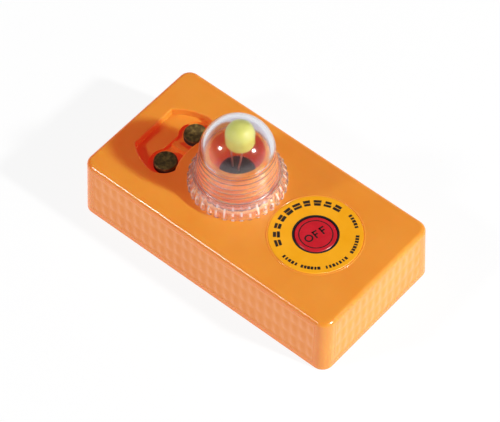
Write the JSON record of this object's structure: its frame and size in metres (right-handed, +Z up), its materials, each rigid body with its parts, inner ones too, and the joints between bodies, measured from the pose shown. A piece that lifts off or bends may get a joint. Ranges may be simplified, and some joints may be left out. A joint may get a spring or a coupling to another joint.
{
  "type": "lifejacket light",
  "caption": "Box-shaped water-activated lifejacket light: orange case with textured sides, water contacts in a recess, clear knurled screw-on lens over a lamp, off button in an amber disc.",
  "frame": {"origin": "centre of the flat underside", "axes": "+Z up through the lens, +X along the case towards the off button, +Y across the case"},
  "size_m": [0.0846, 0.0444, 0.0426],
  "materials": {
    "case_orange": "glossy moulded",
    "lens_clear": "clear polished",
    "lamp_body": "diffusing resin",
    "tinned_wire": "tinned",
    "black_insert": "satin",
    "contact_brass": "dull patina",
    "black_rubber": "matt",
    "seal_rubber": "soft translucent",
    "label_amber": "smooth printed",
    "button_red": "smooth",
    "steel": "plain",
    "board_green": "solder mask",
    "component_black": "moulded",
    "ferrite": "sintered",
    "copper_wire": "enamelled",
    "capacitor_can": "sleeved",
    "cell_can": "sleeved can",
    "nickel": "strip",
    "foam": "open cell",
    "natural_plastic": "moulded"
  },
  "bodies": {
    "case": {"housing_shell": "case_orange", "base_cover": "case_orange", "base_gasket": "black_rubber", "base_screws": "steel", "electrode_front": "contact_brass", "electrode_rear": "contact_brass", "electrode_seals": "black_rubber", "electrode_nuts": "steel", "led_lamp": "lamp_body", "led_leads": "tinned_wire", "led_holder": "black_insert", "main_board": "board_green", "board_screws": "steel", "controller_chip": "component_black", "chip_pins": "tinned_wire", "boost_inductor": "ferrite", "inductor_winding": "copper_wire", "storage_capacitors": "capacitor_can", "resistors": "component_black", "tact_switch": "component_black", "switch_pins": "tinned_wire", "button_bezel": "black_insert", "button_retainer": "black_insert", "button_spring": "steel", "switch_label": "label_amber", "battery_cell_front": "cell_can", "battery_cell_rear": "cell_can", "cell_link": "nickel", "cell_tabs": "nickel", "foam_pads": "foam"},
    "button": {"off_button": "button_red", "button_seal": "black_rubber", "button_clip": "steel"},
    "plunger": {"switch_plunger": "natural_plastic"},
    "lens_carriage": {"lens_seal": "seal_rubber"},
    "lens": {"lens_cap": "lens_clear"}
  },
  "joints": [
    {"name": "button_press", "type": "slide", "parent": "case", "child": "button", "axis": [0, 0, -1], "range_m": [0, 0.0006], "stiffness_N_per_m": 1200, "springref_m": -0.0005, "deforming": ["button_spring"]},
    {"name": "plunger_press", "type": "slide", "parent": "case", "child": "plunger", "axis": [0, 0, -1], "range_m": [0, 0.00034]},
    {"name": "lens_rise", "type": "slide", "parent": "case", "child": "lens_carriage", "axis": [0, 0, 1], "range_m": [0, 0.0071]},
    {"name": "lens_unscrew", "type": "hinge", "parent": "lens_carriage", "child": "lens", "pos_m": [-0.006, 0, 0.0194], "axis": [0, 0, 1], "range_deg": [0, 1440]}
  ],
  "couplings": [
    {"joint": "plunger_press", "follows": "button_press", "ratio": 0.55},
    {"joint": "lens_rise", "follows": "lens_unscrew", "m_per_rad": 0.00027852}
  ]
}
